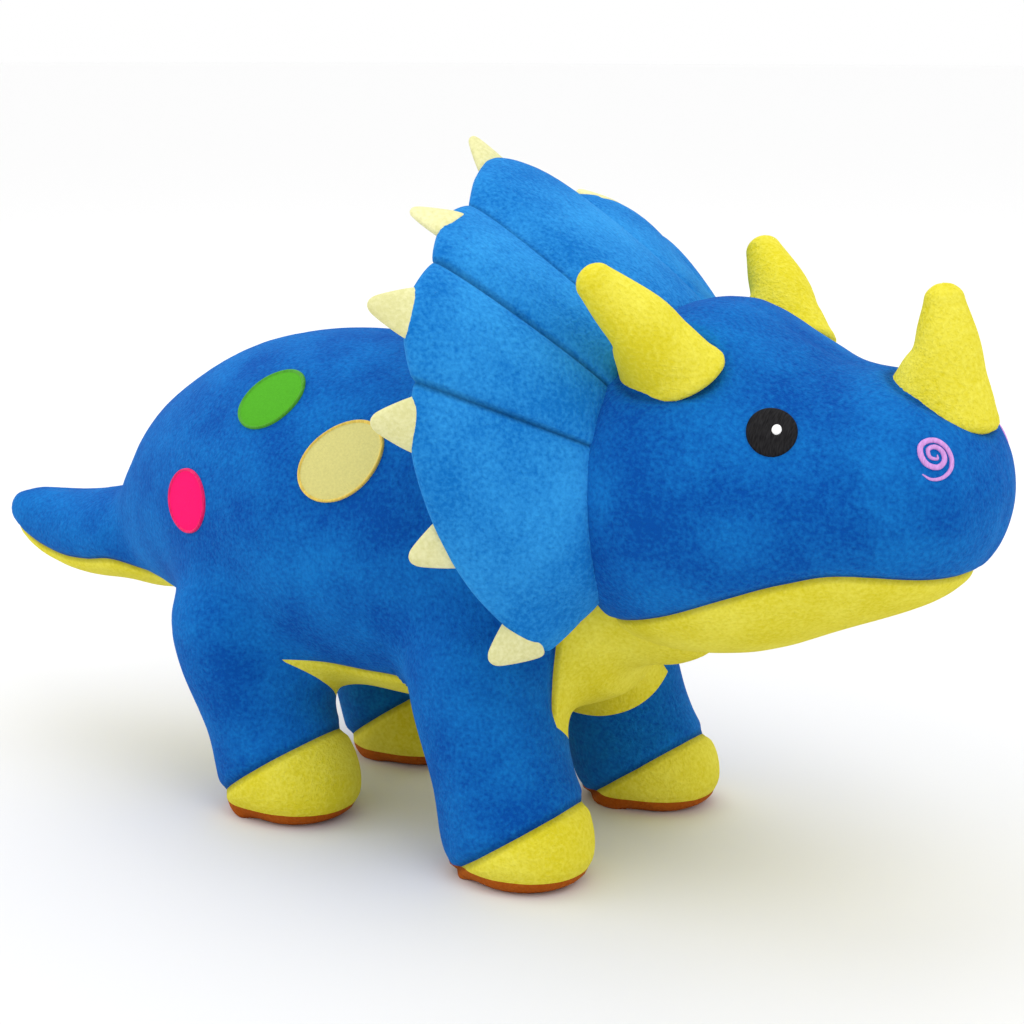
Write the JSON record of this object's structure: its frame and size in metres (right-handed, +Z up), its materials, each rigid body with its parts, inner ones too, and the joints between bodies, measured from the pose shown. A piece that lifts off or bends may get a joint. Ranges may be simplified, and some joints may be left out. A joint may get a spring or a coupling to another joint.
{
  "type": "stuffed dinosaur toy",
  "caption": "Stuffed three-horned dinosaur toy: plush covers over fibre filling, a quilted neck frill, and soft sprung bends at the neck, tail, legs and horns.",
  "frame": {"origin": "on the ground, under the middle of the toy's box", "axes": "+X towards the nose, +Y towards the toy's left side, +Z up"},
  "size_m": [0.58, 0.2706, 0.3285],
  "materials": {
    "blue_plush": "short-pile plush, soft sheen",
    "yellow_plush": "short-pile plush, soft sheen",
    "cream_felt": "soft felt-backed plush",
    "brown_plush": "short-pile plush",
    "green_applique": "applique cloth, satin-stitched edge",
    "straw_applique": "applique cloth, satin-stitched edge",
    "pink_applique": "applique cloth, satin-stitched edge",
    "black_thread": "satin embroidery",
    "white_thread": "satin embroidery",
    "mauve_thread": "satin embroidery",
    "fibre_fill": "loose polyester fibre"
  },
  "bodies": {
    "torso": {"belly_panel": "yellow_plush", "left_side_panel": "blue_plush", "left_spot_green": "green_applique", "left_spot_pink": "pink_applique", "left_spot_straw": "straw_applique", "right_side_panel": "blue_plush", "right_spot_green": "green_applique", "right_spot_pink": "pink_applique", "right_spot_straw": "straw_applique", "torso_stuffing": "fibre_fill"},
    "neck": {"neck_sleeve": "blue_plush", "neck_stuffing": "fibre_fill"},
    "head": {"chin_panel": "yellow_plush", "frill_back": "blue_plush", "frill_front": "blue_plush", "frill_spike_crown": "cream_felt", "frill_wadding": "fibre_fill", "head_left_panel": "blue_plush", "head_right_panel": "blue_plush", "head_stuffing": "fibre_fill", "left_eye": "black_thread", "left_eye_glint": "white_thread", "left_frill_spike_1": "cream_felt", "left_frill_spike_2": "cream_felt", "left_frill_spike_3": "cream_felt", "left_frill_spike_4": "cream_felt", "left_frill_spike_5": "cream_felt", "left_nostril": "mauve_thread", "right_eye": "black_thread", "right_eye_glint": "white_thread", "right_frill_spike_1": "cream_felt", "right_frill_spike_2": "cream_felt", "right_frill_spike_3": "cream_felt", "right_frill_spike_4": "cream_felt", "right_frill_spike_5": "cream_felt", "right_nostril": "mauve_thread"},
    "left_brow_horn": {"left_brow_horn": "yellow_plush"},
    "right_brow_horn": {"right_brow_horn": "yellow_plush"},
    "nose_horn": {"nose_horn": "yellow_plush"},
    "tail": {"tail_cover": "blue_plush", "tail_stuffing": "fibre_fill", "tail_under_panel": "yellow_plush"},
    "left_fore_leg": {"left_fore_leg_cover": "blue_plush", "left_fore_leg_sole": "brown_plush", "left_fore_leg_stuffing": "fibre_fill", "left_fore_leg_toe_cap": "yellow_plush"},
    "right_fore_leg": {"right_fore_leg_cover": "blue_plush", "right_fore_leg_sole": "brown_plush", "right_fore_leg_stuffing": "fibre_fill", "right_fore_leg_toe_cap": "yellow_plush"},
    "left_hind_leg": {"left_hind_leg_cover": "blue_plush", "left_hind_leg_sole": "brown_plush", "left_hind_leg_stuffing": "fibre_fill", "left_hind_leg_toe_cap": "yellow_plush"},
    "right_hind_leg": {"right_hind_leg_cover": "blue_plush", "right_hind_leg_sole": "brown_plush", "right_hind_leg_stuffing": "fibre_fill", "right_hind_leg_toe_cap": "yellow_plush"}
  },
  "joints": [
    {"name": "neck_turn", "type": "hinge", "parent": "torso", "child": "neck", "pos_m": [0.105, 0, 0.163], "axis": [0, 0, 1], "range_deg": [-10, 10], "stiffness_Nm_per_rad": 4},
    {"name": "neck_nod", "type": "hinge", "parent": "neck", "child": "head", "pos_m": [0.105, 0, 0.163], "axis": [0, 1, 0], "range_deg": [-10, 6], "stiffness_Nm_per_rad": 6},
    {"name": "tail_wag", "type": "hinge", "parent": "torso", "child": "tail", "pos_m": [-0.166, 0, 0.118], "axis": [0, 0, 1], "range_deg": [-25, 25], "stiffness_Nm_per_rad": 0.3},
    {"name": "left_fore_leg_swing", "type": "hinge", "parent": "torso", "child": "left_fore_leg", "pos_m": [0.062, 0.052, 0.092], "axis": [0, 1, 0], "range_deg": [-12, 12], "stiffness_Nm_per_rad": 1.2},
    {"name": "right_fore_leg_swing", "type": "hinge", "parent": "torso", "child": "right_fore_leg", "pos_m": [0.062, -0.052, 0.092], "axis": [0, 1, 0], "range_deg": [-12, 12], "stiffness_Nm_per_rad": 1.2},
    {"name": "left_hind_leg_swing", "type": "hinge", "parent": "torso", "child": "left_hind_leg", "pos_m": [-0.078, 0.05, 0.092], "axis": [0, 1, 0], "range_deg": [-12, 12], "stiffness_Nm_per_rad": 1.2},
    {"name": "right_hind_leg_swing", "type": "hinge", "parent": "torso", "child": "right_hind_leg", "pos_m": [-0.078, -0.05, 0.092], "axis": [0, 1, 0], "range_deg": [-12, 12], "stiffness_Nm_per_rad": 1.2},
    {"name": "left_brow_horn_flex", "type": "hinge", "parent": "head", "child": "left_brow_horn", "pos_m": [0.156, 0.055, 0.24], "axis": [0, 1, 0], "range_deg": [-12, 12], "stiffness_Nm_per_rad": 0.06},
    {"name": "right_brow_horn_flex", "type": "hinge", "parent": "head", "child": "right_brow_horn", "pos_m": [0.156, -0.055, 0.24], "axis": [0, 1, 0], "range_deg": [-12, 12], "stiffness_Nm_per_rad": 0.06},
    {"name": "nose_horn_flex", "type": "hinge", "parent": "head", "child": "nose_horn", "pos_m": [0.256, 0, 0.228], "axis": [0, 1, 0], "range_deg": [-12, 12], "stiffness_Nm_per_rad": 0.06}
  ]
}
